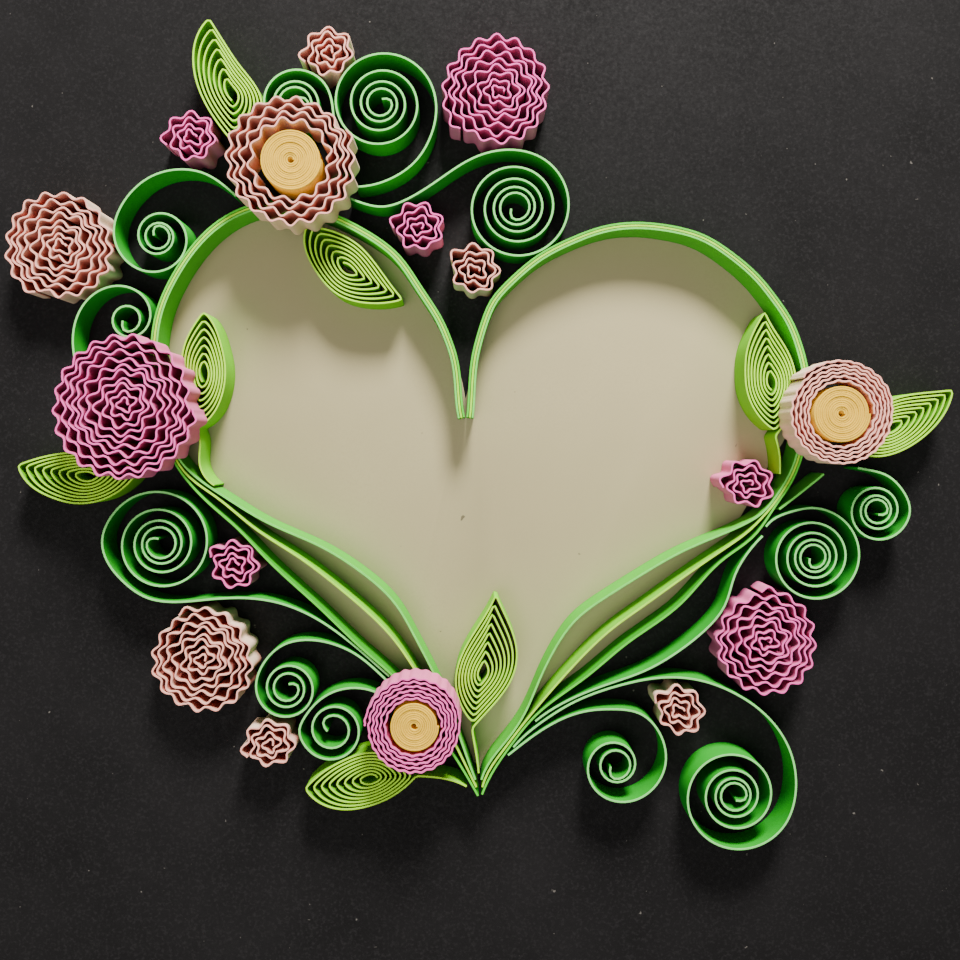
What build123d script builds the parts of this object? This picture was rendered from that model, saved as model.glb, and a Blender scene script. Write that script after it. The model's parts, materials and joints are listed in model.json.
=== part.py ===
from build123d import *
import os
from math import cos, exp, hypot, pi, radians, sin

os.makedirs("parts", exist_ok=True)

# ---------------------------------------------------------------- driving dimensions, mm
board_side = 200.0        # square backing card
board_thickness = 2.0
panel_thickness = 0.25    # cream paper heart glued to the card
motif_width = 143.0       # leaf tip at the right to flower rim at the left
strip_width = 5.0         # every strip stands this high, on its edge
paper = 0.28              # strips of the flowers and the leaves
stout_paper = 0.32        # strips of the heart outline and the scrolls
glue_gap = 0.07           # between strips glued face to face
loop_gap = 0.12           # least gap between the loops of a leaf
crimp_pitch = 2.9         # one wave of a crimped strip
crimp_height = 0.84       # its valley to its crest
crimp_slack = 0.20        # looseness of the turns of a crimped coil
fine_pitch = 1.65         # crimp of the two fine-petalled flowers
fine_height = 0.26
fine_slack = 0.12
flower_eye = 0.60         # radius at which a crimped strip starts when it has no core
core_gap = 0.15           # between a yellow core and the first crimped turn
bud_radius = 4.35          # the eight small flowers
panel_inset = 0.10        # panel edge inside the middle of the outer heart strip

drawn_width = 143.0       # motif_width at which the layout below is given
scale = motif_width / drawn_width
card_top = board_thickness
panel_top = card_top + panel_thickness
upper_base = panel_top + strip_width
strip_pitch = stout_paper + glue_gap


# ---------------------------------------------------------------- curves
def smooth(points):
    """A smooth line through hand-placed points, read at close even steps."""
    line = Spline(*points)
    steps = max(2, int(line.length / 0.2))
    places = [line @ (i / steps) for i in range(steps + 1)]
    return [(p.X, p.Y) for p in places]


def evenly(path, spacing):
    """The same path with points at even distances along it."""
    run = [0.0]
    for a, b in zip(path, path[1:]):
        run.append(run[-1] + hypot(b[0] - a[0], b[1] - a[1]))
    count = max(2, round(run[-1] / spacing))
    points = []
    k = 0
    for i in range(count + 1):
        at = run[-1] * i / count
        while k < len(path) - 2 and run[k + 1] < at:
            k += 1
        t = (at - run[k]) / (run[k + 1] - run[k])
        points.append(tuple(a + (b - a) * t for a, b in zip(path[k], path[k + 1])))
    return points


def soften(path, passes):
    """Rounds off corners by averaging each point with its neighbours."""
    for _ in range(passes):
        middle = [
            tuple((a + 2 * b + c) / 4 for a, b, c in zip(*three))
            for three in zip(path, path[1:], path[2:])
        ]
        path = [path[0]] + middle + [path[-1]]
    return path


def shifted(path, distance):
    """The path moved sideways, to the left of its direction for a positive distance."""
    moved = []
    last = len(path) - 1
    for i, (x, y) in enumerate(path):
        a = path[max(i - 1, 0)]
        b = path[min(i + 1, last)]
        length = hypot(b[0] - a[0], b[1] - a[1])
        moved.append((x - (b[1] - a[1]) / length * distance, y + (b[0] - a[0]) / length * distance))
    return moved


def spread(points):
    """Layout points moved out or in with the size of the motif."""
    return [(x * scale, y * scale) for x, y in points]


# ---------------------------------------------------------------- pieces
def ribbon(name, path, thickness, base):
    """A paper strip standing on its edge along the path."""
    left = shifted(path, thickness / 2)
    right = shifted(path, -thickness / 2)
    with BuildPart() as strip:
        with BuildSketch(Plane.XY.offset(base)):
            with BuildLine():
                Polyline(*left, *reversed(right), close=True)
            make_face()
        extrude(amount=strip_width)
    strip.part.label = name
    export_step(strip.part, f"parts/{name}.step", write_pcurves=False)


def crimped_coil(start, rim, pitch, height, slack, phase):
    """Centre line of a crimped strip wound outwards from the start radius to the rim.

    Each turn lies on the crests of the turn before: where the waves fall in step it nests
    close, and where they don't it stands off and leaves diamond-shaped cells.
    """
    steps = 240                       # in one turn
    angle = 2 * pi / steps
    clear = paper + slack
    touching = 1.4 * paper + 0.1      # least radial step, allowing for the slope of the waves
    line = [start - clear] * 2 * steps
    base = start + height / 4
    wave = phase
    while base + height / 2 < rim or cos(wave) > -0.9:
        inner = len(line) - steps
        squash = min(1.0, 0.42 + base / 6)      # the tighter a turn, the closer its waves
        swing = height / 2 * squash * (1 + 0.14 * sin(0.31 * wave))
        rate = base * angle * 2 * pi / (pitch * squash)
        ahead = min(int(1.24 * pi / rate), steps // 5)
        need = max(line[inner + j] + clear - swing * cos(wave + rate * j) for j in range(-ahead, ahead + 1))
        base += (need - base) * (0.12 if need > base else 0.05)
        wave += rate
        line.append(max(base + swing * cos(wave), line[inner] + touching))
    turns = line[2 * steps:]
    return [(r * cos(i * angle), r * sin(i * angle)) for i, r in enumerate(turns)]


def flower(name, centre, rim, base, core=0.0, phase=0.0, fine=False):
    """A crimped coil standing on its edge, around a tight yellow core where it has one."""
    pitch = fine_pitch if fine else crimp_pitch
    height = fine_height if fine else crimp_height
    slack = fine_slack if fine else crimp_slack
    start = core + core_gap + height / 2 + paper if core else flower_eye
    coil = crimped_coil(start, rim - paper / 2, pitch, height, slack, phase)
    x, y = spread([centre])[0]
    path = [(x + a, y + b) for a, b in coil]
    ribbon(name, evenly(path, pitch / 8), paper, base)


def core(name, centre, radius, base, eye):
    """A strip rolled tight: one body with an open eye and the step of its glued end."""
    x, y = spread([centre])[0]
    with BuildPart() as roll:
        with BuildSketch(Plane.XY.offset(base)) as face:
            with Locations((x, y)):
                Circle(radius - paper)
            with BuildLine():
                turn = [radians(a) for a in range(0, 331, 30)]
                rim = [(radius - paper * a / (2 * pi)) for a in turn]
                edge = [(x + r * cos(a), y + r * sin(a)) for r, a in zip(rim, turn)]
                Spline(*edge)
                Line(edge[-1], (x, y))
                Line((x, y), edge[0])
            make_face()
            with Locations((x + eye / 3, y - eye / 3)):
                Ellipse(eye, eye * 0.6, rotation=20, mode=Mode.SUBTRACT)
        extrude(amount=strip_width)
    roll.part.label = name
    export_step(roll.part, f"parts/{name}.step")


def leaf(name, tip, root, near, far, eye, base, tail=(), ease=1.0):
    """A loose coil pinched to two points: its loops shrink towards an eye beside the middle."""
    tip, root, eye = spread([tip, root, eye])
    near, far, tail = spread(near), spread(far), spread(tail)
    there = evenly(smooth([root] + near[::-1] + [tip]), 0.5)
    back = evenly(smooth([tip] + far + [root]), 0.5)
    outline = there + back[1:]
    room = min(hypot(x - eye[0], y - eye[1]) for x, y in outline)
    start = 0.5 / room                # the eye's share of the outline
    loops = int((room - 0.5) / (paper + loop_gap) / ease)
    count = len(outline) - 1
    path = []
    for i in range(loops * count + 1):
        x, y = outline[i % count] if i < loops * count else root
        share = start + (1 - start) * i / (loops * count)
        path.append((eye[0] + (x - eye[0]) * share, eye[1] + (y - eye[1]) * share))
    if tail:
        path += smooth([root] + list(tail))[2:]
    path = soften(evenly(path, 0.25), 3)
    ribbon(name, evenly(path, 0.5), paper, base)


def scroll(name, eye, outer, inner, relax, turns, start, hand, tail=(), base=card_top):
    """A loose scroll: the radius falls quickly at first and slowly near the eye."""
    eye = spread([eye])[0]
    step = 30
    spiral = []
    for i in range(int(turns * 360 / step) + 1):
        turn = i * step / 360
        radius = (inner + (outer - inner) * exp(-turn / relax)) * scale
        at = radians(start + hand * i * step)
        spiral.append((eye[0] + radius * cos(at), eye[1] + radius * sin(at)))
    at += hand * radians(75)
    spiral.append((eye[0] + 0.4 * radius * cos(at), eye[1] + 0.4 * radius * sin(at)))
    path = smooth(spread(tail) + spiral)
    ribbon(name, evenly(path, 0.7), stout_paper, base)


# ---------------------------------------------------------------- backing card
with BuildPart() as backing_card:
    with BuildSketch():
        Rectangle(board_side, board_side)
    extrude(amount=board_thickness)
backing_card.part.label = "backing_card"
export_step(backing_card.part, "parts/backing_card.step")

# ---------------------------------------------------------------- heart outline and panel
# Each lobe line runs from the cleft over the lobe to where its three strips part.
left_lobe = spread([
    (-2.4, 1.9), (-2.9, 6.0), (-3.3, 9.9), (-4.3, 13.3), (-6.0, 17.1), (-8.4, 20.8),
    (-12.4, 26.4), (-16.5, 29.5), (-21.0, 31.9), (-25.5, 33.6), (-29.4, 34.2), (-33.3, 33.9),
    (-37.2, 32.5), (-41.9, 28.9), (-46.2, 22.9), (-48.4, 17.8), (-49.2, 12.8), (-49.1, 7.5),
    (-48.1, 1.5), (-46.2, -4.0),
])
right_lobe = spread([
    (-1.9, 1.9), (-1.6, 6.0), (-1.3, 9.9), (0.2, 15.9), (1.5, 19.1), (4.5, 22.6), (8.7, 26.1),
    (13.9, 28.8), (18.4, 30.4), (23.8, 31.0), (29.2, 30.4), (33.6, 29.1), (37.5, 26.7),
    (42.0, 22.8), (44.4, 19.8), (46.6, 16.5), (48.1, 12.8), (49.2, 8.2), (49.4, 3.8),
    (48.8, -1.2), (47.6, -5.7), (45.9, -9.0), (44.1, -11.6),
])
# Below, each strip takes its own way to the bottom point.
left_ways = {
    "outer": [
        (-43.4, -8.1), (-40.5, -11.1), (-36.4, -14.7), (-32.2, -19.1), (-28.2, -22.9),
        (-24.0, -26.7), (-17.4, -33.0), (-13.3, -36.6), (-8.4, -42.4), (-4.0, -48.6), (-0.3, -54.8),
    ],
    "middle": [
        (-43.6, -7.0), (-39.6, -10.0), (-33.8, -14.7), (-27.1, -19.1), (-21.8, -23.1),
        (-17.4, -26.8), (-13.3, -30.9), (-9.9, -35.7), (-6.6, -41.5), (-3.3, -47.9), (-0.55, -53.5),
    ],
    "inner": [
        (-43.8, -5.9), (-38.3, -10.0), (-32.2, -13.7), (-24.0, -17.4), (-17.4, -21.6),
        (-12.8, -25.9), (-9.8, -30.9), (-7.3, -35.7), (-4.8, -41.2), (-2.6, -47.2), (-0.7, -52.4),
    ],
}
right_ways = {
    "outer": [
        (42.8, -13.6), (41.0, -15.9), (36.3, -19.5), (30.0, -26.1), (22.1, -31.9), (15.9, -37.0),
        (8.2, -42.9), (4.5, -47.4), (2.1, -50.9), (0.3, -54.6),
    ],
    "middle": [
        (42.2, -13.2), (40.4, -15.0), (36.3, -18.0), (30.1, -22.3), (24.0, -26.7), (20.0, -29.6),
        (14.3, -35.0), (8.4, -41.7), (6.2, -44.4), (3.3, -48.2), (1.6, -50.6), (0.34, -53.5),
    ],
    "inner": [
        (42.2, -12.5), (40.4, -13.7), (36.3, -15.6), (30.1, -18.3), (24.0, -21.8), (18.6, -25.2),
        (14.2, -28.6), (11.2, -32.8), (9.0, -37.2), (6.4, -43.0), (4.9, -45.3), (3.4, -47.2),
        (1.35, -49.9), (0.2, -52.4),
    ],
}

for rank, place in enumerate(("outer", "middle", "inner")):
    for side, lobe, ways, inward in (("left", left_lobe, left_ways, 1), ("right", right_lobe, right_ways, -1)):
        band = evenly(shifted(smooth(lobe), inward * rank * strip_pitch), 3.0 * scale)
        path = evenly(smooth(band + spread(ways[place])), 1.2)
        ribbon(f"heart_{side}_{place}_strip", path, stout_paper, panel_top)

panel_cleft = spread([(-2.2, 5.0)])
panel_tip = spread([(0.2, -52.6)])
left_edge = evenly(shifted(smooth(left_lobe), panel_inset), 4.0 * scale)[3:]
left_edge += shifted(spread(left_ways["outer"]), panel_inset)[:-2]
right_edge = evenly(shifted(smooth(right_lobe), -panel_inset), 4.0 * scale)[3:-4]
right_edge += spread([(45.2, -5.0), (40.0, -14.3)])
right_edge += shifted(spread(right_ways["outer"]), -panel_inset)[2:-2]
with BuildPart() as heart_panel:
    with BuildSketch(Plane.XY.offset(card_top)):
        with BuildLine():
            Spline(*(panel_cleft + left_edge + panel_tip))
            Spline(*(panel_tip + right_edge[::-1] + panel_cleft))
        make_face()
    extrude(amount=panel_thickness)
heart_panel.part.label = "heart_panel"
export_step(heart_panel.part, "parts/heart_panel.step")

# ---------------------------------------------------------------- flowers
flower("flower_far_left", (-63.1, 27.6), 8.6, card_top, phase=0.4)
flower("flower_left_large", (-51.4, 3.5), 10.9, upper_base, phase=1.9)
flower("flower_top_left", (-27.4, 38.8), 9.8, upper_base, core=4.45, phase=3.1)
flower("flower_top", (2.6, 50.8), 8.8, card_top, phase=5.2)
flower("flower_right", (52.0, 2.2), 8.0, upper_base, core=4.05, phase=0.8, fine=True)
flower("flower_bottom", (-9.6, -42.9), 7.3, upper_base, core=3.4, phase=2.2, fine=True)
flower("flower_lower_right", (42.8, -32.0), 8.6, card_top, phase=4.1)
flower("flower_lower_left", (-41.9, -34.7), 8.6, card_top, phase=2.7)
core("flower_top_left_core", (-27.4, 38.8), 4.45, upper_base, 0.45)
core("flower_right_core", (52.0, 2.2), 4.05, upper_base, 0.35)
core("flower_bottom_core", (-9.6, -42.9), 3.4, upper_base, 0.35)

buds = {
    "bud_top_left": (-43.5, 44.0),
    "bud_top": (-22.8, 56.6),
    "bud_cleft_left": (-9.4, 30.2),
    "bud_cleft_right": (-1.1, 23.9),
    "bud_left": (-37.1, -20.3),
    "bud_bottom_left": (-31.7, -47.4),
    "bud_right": (40.0, -8.3),
    "bud_bottom_right": (29.7, -42.2),
}
for turn, (name, centre) in enumerate(buds.items()):
    base = panel_top if name == "bud_right" else card_top
    flower(name, centre, bud_radius, base, phase=0.3 + 1.7 * turn)

# ---------------------------------------------------------------- leaves
leaf(
    "leaf_top", (-40.9, 62.5), (-36.9, 42.0), [(-43.2, 58.8), (-43.5, 54.8), (-42.6, 51.0), (-40.6, 47.0)],
    [(-38.7, 58.9), (-36.0, 54.8), (-32.8, 49.8), (-33.4, 45.0)], (-37.3, 50.6), card_top,
)
leaf(
    "leaf_left_lobe", (-11.0, 19.2), (-25.6, 31.2), [(-14.6, 24.0), (-18.0, 28.0), (-21.2, 30.0)],
    [(-16.4, 18.7), (-21.4, 20.2), (-24.8, 24.0), (-26.4, 28.4)], (-19.8, 24.2), panel_top, ease=1.2,
)
leaf(
    "leaf_inner_left", (-41.4, 18.3), (-42.6, 0.3), [(-43.2, 15.8), (-44.6, 12.8), (-45.0, 8.2), (-44.4, 3.8)],
    [(-39.8, 16.2), (-38.7, 13.0), (-38.1, 9.9), (-38.5, 5.5), (-40.4, 1.8)], (-41.4, 8.4), panel_top,
    tail=[(-41.9, -2.1), (-42.0, -5.1), (-41.2, -7.0), (-39.8, -8.3)],
)
leaf(
    "leaf_outer_left", (-70.0, -5.2), (-51.3, -6.0), [(-65.8, -3.8), (-61.6, -3.1), (-56.4, -3.4)],
    [(-68.1, -8.2), (-64.3, -10.3), (-60.8, -11.1), (-57.3, -10.7), (-53.4, -8.6)], (-58.8, -6.8), card_top,
)
leaf(
    "leaf_inner_right", (42.6, 18.3), (44.2, -0.9), [(41.0, 15.6), (39.7, 12.2), (39.4, 8.8), (39.6, 6.0), (41.0, 2.4)],
    [(43.9, 15.6), (46.0, 12.2), (47.3, 8.2), (46.6, 3.0)], (43.6, 7.0), panel_top,
    tail=[(44.8, -3.4), (44.9, -6.6)],
)
leaf(
    "leaf_outer_right", (71.5, 6.3), (55.6, -2.4), [(66.9, 5.9), (61.9, 4.9), (57.8, 2.0)],
    [(70.0, 2.5), (66.9, -0.9), (63.6, -3.0), (59.4, -4.0)], (61.6, 0.4), card_top,
)
leaf(
    "leaf_inner_bottom", (2.5, -24.0), (-1.2, -44.7), [(-0.1, -28.6), (-2.9, -33.3), (-4.0, -37.5), (-3.4, -41.2)],
    [(4.5, -28.6), (5.7, -33.3), (5.2, -36.4), (2.2, -41.0)], (0.2, -36.6), panel_top,
    tail=[(-0.8, -47.2), (-0.4, -49.6), (-0.2, -51.4)],
)
leaf(
    "leaf_outer_bottom", (-26.8, -53.9), (-9.6, -51.9), [(-23.6, -51.0), (-20.4, -49.2), (-16.8, -48.1), (-12.8, -48.9)],
    [(-23.6, -56.5), (-20.4, -57.1), (-17.4, -56.7), (-13.2, -55.0)], (-16.2, -52.2), card_top,
    tail=[(-6.0, -52.2), (-3.8, -52.7), (-2.0, -53.5)],
)

# ---------------------------------------------------------------- scrolls
# eye, outer radius, inner radius, turns to relax, turns, start direction in degrees, hand
scroll(
    "scroll_upper_left", (-48.3, 29.0), 6.6, 1.5, 0.80, 2.75, 180, 1,
    [(-36.6, 35.1), (-38.7, 36.9), (-41.4, 38.5), (-45.0, 39.1), (-49.0, 38.2), (-52.6, 35.4)],
)
scroll("scroll_left", (-52.9, 16.6), 7.7, 1.8, 0.38, 1.75, 180, -1, [(-59.0, 5.7), (-60.8, 10.6)])
scroll("scroll_top_small", (-27.9, 49.0), 5.7, 1.6, 1.44, 3.0, 0, 1, [(-21.9, 45.2)])
scroll(
    "scroll_top", (-14.9, 49.0), 8.3, 0.3, 2.29, 4.0, 0, 1,
    [(-18.6, 36.5), (-15.6, 36.9), (-13.0, 37.9), (-10.0, 40.0), (-7.6, 43.6)],
)
scroll(
    "scroll_cleft", (5.4, 33.4), 8.6, 0.2, 2.79, 4.5, 90, -1,
    [(-19.8, 34.9), (-17.2, 33.9), (-14.8, 33.5), (-10.8, 34.7), (-5.7, 37.9), (-0.8, 40.9)],
)
scroll(
    "scroll_lower_left", (-48.0, -17.1), 8.7, 0.9, 2.06, 4.0, 180, -1,
    [(-13.6, -36.95), (-17.7, -33.35), (-20.7, -30.9), (-24.4, -28.4), (-30.8, -25.8), (-36.4, -25.2),
     (-41.4, -25.5), (-46.6, -25.8), (-49.9, -25.2), (-53.7, -22.6), (-56.0, -19.6)],
)
scroll(
    "scroll_bottom_left_upper", (-28.9, -38.8), 4.7, 0.2, 2.25, 2.5, 180, 1,
    [(-14.0, -37.6), (-15.9, -35.8), (-18.9, -33.5), (-22.1, -32.1), (-25.6, -31.5), (-29.4, -32.2), (-32.4, -34.9)],
)
scroll(
    "scroll_bottom_left_lower", (-22.1, -45.0), 5.0, 0.2, 1.95, 1.9, 180, 1,
    [(-15.3, -39.5), (-18.6, -38.7), (-22.0, -39.3), (-24.5, -40.9), (-26.3, -43.1)],
)
scroll(
    "scroll_right", (50.1, -19.1), 7.4, 0.3, 2.67, 4.5, 90, -1,
    [(42.9, -14.5), (43.9, -13.5), (46.6, -12.3)],
)
scroll(
    "scroll_right_small", (59.6, -12.1), 4.9, 1.0, 1.55, 3.0, 0, -1,
    [(56.7, -5.7), (58.8, -6.1), (61.0, -6.8), (63.3, -8.9)],
)
scroll(
    "scroll_bottom", (20.4, -50.3), 7.4, 2.0, 0.55, 2.25, 0, -1,
    [(4.2, -48.8), (7.3, -46.4), (10.3, -44.4), (15.4, -42.3), (20.2, -41.9), (24.1, -42.6), (26.9, -45.4)],
)
scroll(
    "scroll_bottom_right", (38.2, -54.9), 9.1, 1.1, 1.65, 4.0, 0, -1,
    [(5.0, -47.6), (7.0, -45.6), (9.6, -43.6), (13.8, -41.0), (20.7, -38.4), (26.8, -37.2), (32.7, -37.5),
     (37.8, -39.3), (43.0, -42.9), (46.3, -47.6)],
)

# ---------------------------------------------------------------- plain strips
link_way = smooth(spread([
    (42.4, -15.9), (40.2, -18.4), (38.2, -21.9), (36.8, -26.2), (33.8, -30.0), (29.5, -33.4),
    (24.8, -36.1), (19.3, -38.1), (13.8, -40.3), (8.3, -43.7),
]))
ribbon("link_strip", evenly(link_way, 1.2), stout_paper, card_top)
short_way = smooth(spread([(51.6, -6.6), (48.4, -9.2), (44.9, -11.9)]))
ribbon("short_strip", evenly(short_way, 1.2), stout_paper, card_top)
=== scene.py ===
import json
from math import cos, pi, radians, sin

import bmesh
import bpy
from bpy.props import FloatProperty, FloatVectorProperty, PointerProperty
from bpy.types import Operator, Panel, PropertyGroup
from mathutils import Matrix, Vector


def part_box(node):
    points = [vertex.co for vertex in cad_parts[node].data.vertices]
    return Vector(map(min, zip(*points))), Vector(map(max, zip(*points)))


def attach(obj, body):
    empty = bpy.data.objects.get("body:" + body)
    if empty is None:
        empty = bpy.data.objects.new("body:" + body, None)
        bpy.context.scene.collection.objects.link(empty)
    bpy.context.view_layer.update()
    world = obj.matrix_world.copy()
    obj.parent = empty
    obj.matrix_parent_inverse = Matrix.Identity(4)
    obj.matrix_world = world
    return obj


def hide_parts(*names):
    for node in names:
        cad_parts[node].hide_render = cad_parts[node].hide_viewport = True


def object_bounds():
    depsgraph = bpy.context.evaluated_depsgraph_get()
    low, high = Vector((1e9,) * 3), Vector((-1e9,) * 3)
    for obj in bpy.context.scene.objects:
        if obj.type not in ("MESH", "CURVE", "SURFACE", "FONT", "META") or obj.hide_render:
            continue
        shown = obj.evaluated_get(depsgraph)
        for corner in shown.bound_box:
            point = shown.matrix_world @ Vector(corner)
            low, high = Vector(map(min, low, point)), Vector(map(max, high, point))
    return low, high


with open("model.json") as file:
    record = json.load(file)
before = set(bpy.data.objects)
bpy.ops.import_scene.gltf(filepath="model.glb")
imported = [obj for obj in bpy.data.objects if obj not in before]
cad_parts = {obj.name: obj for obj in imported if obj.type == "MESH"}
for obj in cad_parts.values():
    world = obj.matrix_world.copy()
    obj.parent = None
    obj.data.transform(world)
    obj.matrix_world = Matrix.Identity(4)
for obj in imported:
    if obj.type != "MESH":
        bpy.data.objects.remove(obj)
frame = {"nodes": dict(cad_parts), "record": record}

bl_info = {
    "name": "Quilled Paper Art",
    "version": (1, 0, 0),
    "blender": (4, 5, 0),
    "location": "3D View > Sidebar > Quilling",
    "description": "Dresses a quilled paper picture: crimped flowers, looped leaves and scrolls on a card",
    "category": "Object",
}

CARD_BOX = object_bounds()
NODES = frame["nodes"]
MILLIMETRE = 0.001
SMOOTH_BELOW = radians(70)     # walls bend less than this from facet to facet, and edges are square
FLAT_WITHIN = radians(0.4)     # facets this close to one plane are joined
ONE_POINT = 0.002 * MILLIMETRE  # corners this close are one corner
CARD_ROUND = 0.25 * MILLIMETRE
PANEL_ROUND = 0.03 * MILLIMETRE
CORE_STEPS = 48                # sections in one turn of a tight core
DISH = 0.10 * MILLIMETRE       # how far the middle of a tight core sinks
RIPPLE = 0.035 * MILLIMETRE    # how far its turns stand up or down
FLOOR_GAP = 0.2 * MILLIMETRE
STRIP_SHADE = 2.4 * MILLIMETRE  # a wall with another this close in front of it gets painted shade
SCROLL_SHADE = 4.5 * MILLIMETRE
LEAF_SHADE = 1.6 * MILLIMETRE
CORE_SHADE = 0.5 * MILLIMETRE


def shade(red, green, blue):
    """A colour given in display values of 0 to 255, as the linear values that shaders use."""
    shares = (red / 255, green / 255, blue / 255)
    return tuple(c / 12.92 if c <= 0.04 else ((c + 0.055) / 1.055) ** 2.4 for c in shares)


def paper_colour(title, words, *rgb):
    return FloatVectorProperty(
        name=title, description=words, subtype="COLOR", size=3, min=0, max=1, default=shade(*rgb)
    )


# ------------------------------------------------------------------ settings
class QuillColours(PropertyGroup):
    """Colours of the papers: the cut edge, painted paler as the light falls on it, the face of the walls,
    and the painted shade deep between turns.
    """

    card: paper_colour("Card", "Black backing card", 17, 16, 17)
    card_fibre: paper_colour("Card fibre", "Pale fibre and dust on the card", 96, 92, 88)
    panel: paper_colour("Panel", "Cream paper heart", 172, 161, 122)
    # Painted light and shade: each edge colour is the paper painted paler where light falls on the upward
    # cut edge; each depth colour is painted shade deep between turns.
    green_edge: paper_colour("Green edge", "Cut edge of the scrolls", 134, 226, 124)
    green_face: paper_colour("Green face", "Face of the scrolls", 12, 166, 30)
    green_painted_shade: paper_colour("Green depth", "Face of the scrolls deep between turns", 2, 92, 12)
    band_edge: paper_colour("Band edge", "Cut edge of the heart's outer strip", 84, 206, 50)
    band_face: paper_colour("Band face", "Face of the heart's outer strip", 40, 166, 14)
    lime_edge: paper_colour("Lime edge", "Cut edge of the leaves", 176, 240, 48)
    lime_face: paper_colour("Lime face", "Face of the leaves", 124, 214, 10)
    lime_painted_shade: paper_colour("Lime depth", "Face of the leaves deep between loops", 36, 108, 2)
    pale_green_edge: paper_colour("Pale green edge", "Cut edge of the heart's inner strip", 112, 222, 88)
    pale_green_face: paper_colour("Pale green face", "Face of the heart's inner strip", 78, 192, 40)
    deep_pink_edge: paper_colour("Deep pink edge", "Cut edge of the deep pink flowers", 250, 98, 184)
    deep_pink_face: paper_colour("Deep pink face", "Outer face of the deep pink flowers", 232, 116, 168)
    deep_pink_painted_shade: paper_colour("Deep pink depth", "Deep pink between turns", 142, 0, 72)
    pale_pink_edge: paper_colour("Pale pink edge", "Cut edge of the pale pink flowers", 255, 178, 164)
    pale_pink_face: paper_colour("Pale pink face", "Outer face of the pale pink flowers", 244, 208, 184)
    # Painted shade and painted reflection: the pale pink is painted dark red deep between the turns.
    pale_pink_painted_shade: paper_colour("Pale pink depth", "Pale pink between turns", 172, 12, 16)
    yellow_edge: paper_colour("Yellow edge", "Cut edge of the tight cores", 230, 184, 44)
    yellow_painted_shade: paper_colour("Yellow depth", "Between the turns of the tight cores", 140, 84, 6)


class QuillSizes(PropertyGroup):
    """Sizes of the finish, the stage and the camera."""

    edge_round: FloatProperty(
        name="Edge rounding", description="Rounding of the cut edges of the strips",
        default=0.04 * MILLIMETRE, min=0, unit="LENGTH",
    )
    core_pitch: FloatProperty(
        name="Core winding", description="Distance from turn to turn of a tight core",
        default=0.30 * MILLIMETRE, min=0.1 * MILLIMETRE, unit="LENGTH",
    )
    core_growth: FloatProperty(
        name="Core growth", description="How far a tight core springs out towards its flower's first turn",
        default=0.45 * MILLIMETRE, min=0, unit="LENGTH",
    )
    eye_radius: FloatProperty(
        name="Core eye", description="Radius of the open eye of a tight core",
        default=0.30 * MILLIMETRE, min=0, unit="LENGTH",
    )
    camera_height: FloatProperty(
        name="Camera height", description="Height of the camera above the back of the card",
        default=135 * MILLIMETRE, min=0, unit="LENGTH",
    )
    camera_across: FloatProperty(
        name="Camera across", description="Place of the camera to the right of the card's middle",
        default=-1.05 * MILLIMETRE, unit="LENGTH",
    )
    camera_along: FloatProperty(
        name="Camera along", description="Place of the camera towards the top of the card from its middle",
        default=-2.4 * MILLIMETRE, unit="LENGTH",
    )
    lens: FloatProperty(
        name="Lens", description="Focal length of the camera", default=32, min=1, unit="CAMERA"
    )
    key_power: FloatProperty(
        name="Key power", description="Power of the large soft light", default=8.0, min=0, unit="POWER"
    )
    fill_power: FloatProperty(
        name="Fill power", description="Power of the overhead fill", default=2.0, min=0, unit="POWER"
    )


def colours():
    return bpy.context.scene.quill_colours


def sizes():
    return bpy.context.scene.quill_sizes


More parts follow.
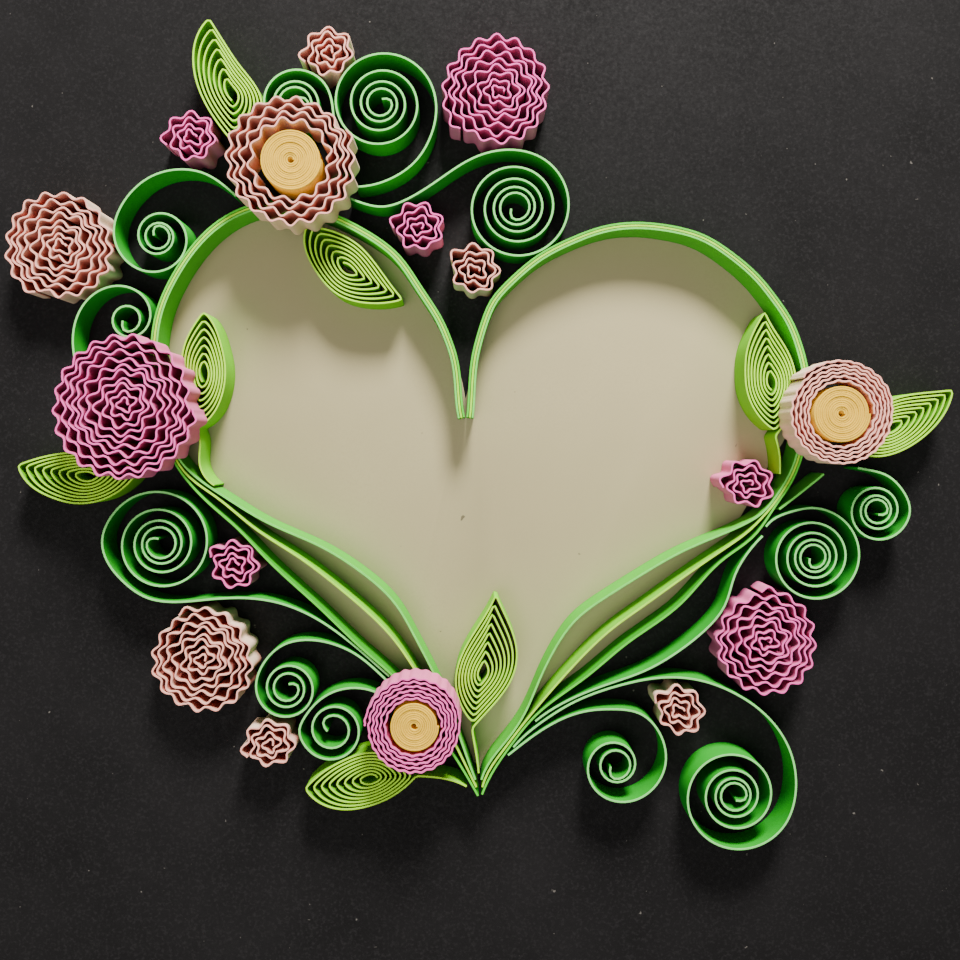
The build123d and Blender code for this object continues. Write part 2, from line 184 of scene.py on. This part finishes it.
# ------------------------------------------------------------------ materials
class Graph:
    """Short ways to add and join the nodes of one material."""

    def __init__(self, title):
        self.material = bpy.data.materials.new(title)
        self.material.use_nodes = True
        self.nodes = self.material.node_tree.nodes
        self.links = self.material.node_tree.links
        self.shader = self.nodes["Principled BSDF"]

    def add(self, kind, **settings):
        node = self.nodes.new(kind)
        for key, value in settings.items():
            setattr(node, key, value)
        return node

    def put(self, value, socket):
        if hasattr(value, "is_output"):
            self.links.new(value, socket)
        elif isinstance(value, (tuple, list)) and len(value) == 3 and socket.type == "RGBA":
            socket.default_value = (*value, 1)
        else:
            socket.default_value = value

    def noise(self, scale, detail=3.0, rough=0.6):
        where = self.add("ShaderNodeTexCoord")
        node = self.add("ShaderNodeTexNoise")
        self.put(where.outputs["Object"], node.inputs["Vector"])
        self.put(scale, node.inputs["Scale"])
        self.put(detail, node.inputs["Detail"])
        self.put(rough, node.inputs["Roughness"])
        return node.outputs["Fac"]

    def ramp(self, value, low, high, to_low=0.0, to_high=1.0):
        node = self.add("ShaderNodeMapRange")
        self.put(value, node.inputs["Value"])
        ends = {"From Min": low, "From Max": high, "To Min": to_low, "To Max": to_high}
        for socket, number in ends.items():
            node.inputs[socket].default_value = number
        return node.outputs["Result"]

    def mix(self, share, first, second, blend="MIX"):
        node = self.add("ShaderNodeMix", data_type="RGBA", blend_type=blend)
        self.put(share, node.inputs["Factor"])
        self.put(first, node.inputs[6])
        self.put(second, node.inputs[7])
        return node.outputs[2]

    def painted_light_top_share(self):
        """1 on the cut edges, which face up out of the card and are painted paler as the light falls on
        them, and 0 on the walls.
        """
        geometry = self.add("ShaderNodeNewGeometry")
        split = self.add("ShaderNodeSeparateXYZ")
        self.put(geometry.outputs["Normal"], split.inputs[0])
        return self.ramp(split.outputs["Z"], 0.35, 0.8)

    def painted_shade_openness(self, shade_reach):
        """1 where a wall stands in the open, and 0 deep between turns, where painted shade darkens it."""
        node = self.add("ShaderNodeAmbientOcclusion", samples=6)
        self.put(shade_reach, node.inputs["Distance"])
        return self.ramp(node.outputs["AO"], 0.12, 0.62)

    def bump(self, height, strength, distance):
        node = self.add("ShaderNodeBump")
        self.put(strength, node.inputs["Strength"])
        self.put(distance, node.inputs["Distance"])
        self.put(height, node.inputs["Height"])
        self.put(node.outputs["Normal"], self.shader.inputs["Normal"])

    def speckle(self, base, colour, scale, low, high):
        return self.mix(self.ramp(self.noise(scale, 2.0, 0.5), low, high), base, colour)


def strip_paper(title, edge, face, deep, shade_reach=STRIP_SHADE):
    """Coloured strip: a furry cut edge painted paler, as light falls on it, above walls with painted shade
    that darkens them between the turns.
    """
    edge, face, deep = (tuple(getattr(colours(), colour)) for colour in (edge, face, deep))
    g = Graph(title)
    # Painted shade: ambient occlusion darkens the walls to the depth colour between the turns.
    wall = g.mix(g.painted_shade_openness(shade_reach), deep, face)
    wall = g.mix(g.ramp(g.noise(420, 3), 0.3, 0.7, 0.0, 0.35), wall, tuple(c * 0.72 for c in face))
    cut = g.mix(g.ramp(g.noise(650, 4), 0.35, 0.75), edge, tuple(c * 0.82 for c in edge))
    cut = g.speckle(cut, tuple(min(1.0, c * 1.12) for c in edge), 5200, 0.56, 0.7)
    # Painted light: upward faces get the paler edge colour, the walls the face colour.
    g.put(g.mix(g.painted_light_top_share(), wall, cut), g.shader.inputs["Base Color"])
    g.put(g.ramp(g.noise(2600), 0.3, 0.7, 0.62, 0.86), g.shader.inputs["Roughness"])
    g.put(0.25, g.shader.inputs["Specular IOR Level"])
    g.bump(g.noise(6500, 5, 0.7), 0.35, 0.03 * MILLIMETRE)
    return g.material


def card_stock(title, base, fibre):
    """Matt black card: a soft mottle, fine fibres and a little pale dust."""
    g = Graph(title)
    tone = g.mix(g.ramp(g.noise(55, 4), 0.3, 0.7), base, tuple(c * 1.7 for c in base))
    tone = g.speckle(tone, tuple(c * 2.6 for c in base), 2300, 0.5, 0.75)
    tone = g.speckle(tone, fibre, 900, 0.76, 0.8)
    g.put(tone, g.shader.inputs["Base Color"])
    g.put(g.ramp(g.noise(1800), 0.3, 0.7, 0.66, 0.88), g.shader.inputs["Roughness"])
    g.put(0.12, g.shader.inputs["Specular IOR Level"])
    g.bump(g.noise(3400, 6, 0.75), 0.5, 0.05 * MILLIMETRE)
    return g.material


def panel_paper(title, base):
    """Plain cream paper with a faint cloudiness and a few dark specks."""
    g = Graph(title)
    tone = g.mix(g.ramp(g.noise(38, 3), 0.3, 0.7), base, tuple(c * 0.9 for c in base))
    tone = g.speckle(tone, tuple(c * 0.93 for c in base), 3000, 0.45, 0.7)
    tone = g.speckle(tone, tuple(c * 0.35 for c in base), 620, 0.775, 0.8)
    g.put(tone, g.shader.inputs["Base Color"])
    g.put(g.ramp(g.noise(2000), 0.3, 0.7, 0.6, 0.78), g.shader.inputs["Roughness"])
    g.put(0.35, g.shader.inputs["Specular IOR Level"])
    g.bump(g.noise(4200, 5, 0.7), 0.25, 0.03 * MILLIMETRE)
    return g.material


# ------------------------------------------------------------------ pieces
def node_slot(node):
    for part in frame["record"]["subparts"]:
        if part["node"] == node:
            return part["material_slot"]
    raise RuntimeError(f"no material slot for {node}")


def dressed_copy(node, material, edge_round):
    """A copy of a CAD piece with clean flat edges, slightly rounded, smooth walls and its paper."""
    source = NODES[node]
    mesh = source.data.copy()
    mesh.name = node + "_paper"
    shape = bmesh.new()
    shape.from_mesh(mesh)
    bmesh.ops.remove_doubles(shape, verts=shape.verts, dist=ONE_POINT)
    bmesh.ops.dissolve_limit(
        shape, angle_limit=FLAT_WITHIN, verts=shape.verts, edges=shape.edges, delimit={"NORMAL"}
    )
    shape.to_mesh(mesh)
    shape.free()
    mesh.materials.clear()
    mesh.materials.append(material)
    piece = bpy.data.objects.new(node + "_paper", mesh)
    bpy.context.scene.collection.objects.link(piece)
    mesh.shade_smooth()
    mesh.set_sharp_from_angle(angle=SMOOTH_BELOW)
    if edge_round:
        bevel = piece.modifiers.new("rounded_edge", "BEVEL")
        bevel.width = edge_round
        bevel.segments = 2
        bevel.limit_method = "ANGLE"
        bevel.angle_limit = SMOOTH_BELOW
        bevel.use_clamp_overlap = True
    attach(piece, "root")
    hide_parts(node)
    return piece


def wound_core(node, material):
    """A strip rolled tight, turn on turn, its cut edge slightly uneven from turn to turn."""
    low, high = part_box(node)
    middle = (low + high) / 2
    radius = min(high.x - low.x, high.y - low.y) / 2 + sizes().core_growth
    pitch = sizes().core_pitch
    eye = sizes().eye_radius
    turns = int((radius - eye - pitch) / pitch)
    shape = bmesh.new()
    rows = []
    for i in range(turns * CORE_STEPS + 1):
        turn = i / CORE_STEPS
        angle = 2 * pi * turn
        inner = eye + pitch * turn
        inner += 0.12 * pitch * sin(0.9 * angle) * max(0.0, 1 - turn / 4)
        outer = inner + 0.94 * pitch
        share = turn / turns
        sunk = DISH * (1 - share) * (1 + 0.5 * sin(5.1 * turn)) + RIPPLE * (1 + sin(2.3 * turn))
        top = high.z - sunk
        soft = 0.10 * pitch
        profile = (
            (inner, low.z), (inner, top - soft), (inner + 1.6 * soft, top), (outer - 1.6 * soft, top),
            (outer, top - soft), (outer, low.z),
        )
        rows.append([
            shape.verts.new((middle.x + r * cos(angle), middle.y + r * sin(angle), z)) for r, z in profile
        ])
    for a, b in zip(rows, rows[1:]):
        for k in range(len(a)):
            n = (k + 1) % len(a)
            shape.faces.new((a[k], b[k], b[n], a[n]))
    shape.faces.new(rows[0])
    shape.faces.new(rows[-1][::-1])
    bmesh.ops.recalc_face_normals(shape, faces=shape.faces)
    mesh = bpy.data.meshes.new(node + "_paper")
    shape.to_mesh(mesh)
    shape.free()
    mesh.materials.append(material)
    mesh.shade_smooth()
    mesh.set_sharp_from_angle(angle=SMOOTH_BELOW)
    piece = bpy.data.objects.new(node + "_paper", mesh)
    bpy.context.scene.collection.objects.link(piece)
    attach(piece, "root")
    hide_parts(node)
    return piece


def nodes_with(slot, prefix=""):
    return sorted(n for n in NODES if n.startswith(prefix) and node_slot(n) == slot)


# ------------------------------------------------------------------ operators
class QuillOperator(Operator):
    """Base of the steps that dress the picture"""

    bl_options = {"REGISTER", "UNDO"}

    def execute(self, context):
        self.make()
        return {"FINISHED"}


class QUILL_OT_card(QuillOperator):
    """Finish the black backing card"""

    bl_idname = "quill.card"
    bl_label = "Backing card"

    def make(self):
        material = card_stock("black_card", tuple(colours().card), tuple(colours().card_fibre))
        dressed_copy("backing_card", material, CARD_ROUND)


class QUILL_OT_panel(QuillOperator):
    """Finish the cream heart panel"""

    bl_idname = "quill.panel"
    bl_label = "Heart panel"

    def make(self):
        dressed_copy("heart_panel", panel_paper("cream_paper", tuple(colours().panel)), PANEL_ROUND)


class QUILL_OT_heart(QuillOperator):
    """Finish the six strips of the heart's outline"""

    bl_idname = "quill.heart"
    bl_label = "Heart outline"

    def make(self):
        papers = {
            "green_paper": strip_paper("band_green", "band_edge", "band_face", "green_painted_shade"),
            "lime_paper": strip_paper("band_lime", "lime_edge", "lime_face", "lime_painted_shade"),
            "pale_green_paper": strip_paper(
                "band_pale_green", "pale_green_edge", "pale_green_face", "green_painted_shade"
            ),
        }
        for slot, paper in papers.items():
            for node in nodes_with(slot, "heart_"):
                dressed_copy(node, paper, sizes().edge_round)


class QUILL_OT_scrolls(QuillOperator):
    """Finish the green scrolls and the plain strips"""

    bl_idname = "quill.scrolls"
    bl_label = "Scrolls"

    def make(self):
        green = strip_paper("scroll_green", "green_edge", "green_face", "green_painted_shade", SCROLL_SHADE)
        pale = strip_paper("short_strip_green", "pale_green_edge", "pale_green_face", "green_painted_shade")
        for node in nodes_with("green_paper", "scroll_") + ["link_strip"]:
            dressed_copy(node, green, sizes().edge_round)
        dressed_copy("short_strip", pale, sizes().edge_round)


class QUILL_OT_leaves(QuillOperator):
    """Finish the looped leaves"""

    bl_idname = "quill.leaves"
    bl_label = "Leaves"

    def make(self):
        paper = strip_paper("leaf_lime", "lime_edge", "lime_face", "lime_painted_shade", LEAF_SHADE)
        for node in nodes_with("lime_paper", "leaf_"):
            dressed_copy(node, paper, sizes().edge_round)


class QUILL_OT_flowers(QuillOperator):
    """Finish the crimped flowers and buds"""

    bl_idname = "quill.flowers"
    bl_label = "Crimped flowers"

    def make(self):
        papers = {
            "deep_pink_paper": strip_paper(
                "petal_deep_pink", "deep_pink_edge", "deep_pink_face", "deep_pink_painted_shade"
            ),
            "pale_pink_paper": strip_paper(
                "petal_pale_pink", "pale_pink_edge", "pale_pink_face", "pale_pink_painted_shade"
            ),
        }
        for slot, paper in papers.items():
            for node in nodes_with(slot):
                dressed_copy(node, paper, sizes().edge_round)


class QUILL_OT_cores(QuillOperator):
    """Wind the tight yellow cores of three flowers"""

    bl_idname = "quill.cores"
    bl_label = "Yellow cores"

    def make(self):
        paper = strip_paper("core_yellow", "yellow_edge", "yellow_edge", "yellow_painted_shade", CORE_SHADE)
        for node in nodes_with("yellow_paper"):
            wound_core(node, paper)


def area_light(title, place, side, power):
    """A round soft light aimed at the middle of the card."""
    data = bpy.data.lights.new(title, "AREA")
    data.shape = "DISK"
    data.size = side
    data.energy = power
    data.color = (1.0, 0.97, 0.91)
    lamp = bpy.data.objects.new(title, data)
    lamp.location = place
    lamp.rotation_euler = (-Vector(place)).to_track_quat("-Z", "Y").to_euler()
    bpy.context.scene.collection.objects.link(lamp)
    return lamp


class QUILL_OT_stage(QuillOperator):
    """Set the pale floor, the soft lights and the overhead camera"""

    bl_idname = "quill.stage"
    bl_label = "Stage"

    def make(self):
        low, high = CARD_BOX
        width = high[0] - low[0]
        bpy.ops.mesh.primitive_plane_add(size=14 * width, location=(0, 0, low[2] - FLOOR_GAP))
        floor = bpy.context.object
        floor.name = "floor"
        g = Graph("floor_paper")
        g.put(g.mix(g.noise(30), (0.62, 0.61, 0.59), (0.66, 0.65, 0.63)), g.shader.inputs["Base Color"])
        g.put(0.8, g.shader.inputs["Roughness"])
        floor.data.materials.append(g.material)

        s = sizes()
        key_place = (0.35 * width, 2.1 * width, 1.15 * width)
        fill_place = (-0.6 * width, -0.8 * width, 2.6 * width)
        area_light("key_light", key_place, 0.7 * width, s.key_power)
        area_light("fill_light", fill_place, 2.2 * width, s.fill_power)
        world = bpy.data.worlds.new("studio")
        world.use_nodes = True
        world.node_tree.nodes["Background"].inputs["Color"].default_value = (0.95, 0.95, 0.9, 1)
        world.node_tree.nodes["Background"].inputs["Strength"].default_value = 0.22
        bpy.context.scene.world = world

        camera = bpy.data.cameras.new("camera")
        camera.sensor_width = 36
        camera.lens = s.lens
        camera.shift_x = 0.0073
        camera.shift_y = -0.0354
        camera.clip_start = 0.005
        viewer = bpy.data.objects.new("camera", camera)
        viewer.location = (s.camera_across, s.camera_along, s.camera_height)
        bpy.context.scene.collection.objects.link(viewer)
        bpy.context.scene.camera = viewer


STEPS = (
    QUILL_OT_stage, QUILL_OT_card, QUILL_OT_panel, QUILL_OT_heart, QUILL_OT_scrolls, QUILL_OT_leaves,
    QUILL_OT_flowers, QUILL_OT_cores,
)


class QUILL_PT_steps(Panel):
    """The steps that dress the picture, in order, with their colours and sizes"""

    bl_idname = "QUILL_PT_steps"
    bl_label = "Quilled Paper Art"
    bl_space_type = "VIEW_3D"
    bl_region_type = "UI"
    bl_category = "Quilling"

    def draw(self, context):
        for step in STEPS:
            self.layout.operator(step.bl_idname)
        for group in (context.scene.quill_sizes, context.scene.quill_colours):
            for key in group.bl_rna.properties.keys():
                if key not in {"rna_type", "name"}:
                    self.layout.prop(group, key)


CLASSES = (QuillColours, QuillSizes, *STEPS, QUILL_PT_steps)


def register():
    for entry in CLASSES:
        bpy.utils.register_class(entry)
    bpy.types.Scene.quill_colours = PointerProperty(type=QuillColours)
    bpy.types.Scene.quill_sizes = PointerProperty(type=QuillSizes)


def unregister():
    del bpy.types.Scene.quill_sizes
    del bpy.types.Scene.quill_colours
    for entry in reversed(CLASSES):
        bpy.utils.unregister_class(entry)


def main():
    register()
    for step in STEPS:
        family, action = step.bl_idname.split(".")
        getattr(getattr(bpy.ops, family), action)()
    bpy.context.view_layer.update()


if __name__ == "__main__":
    main()
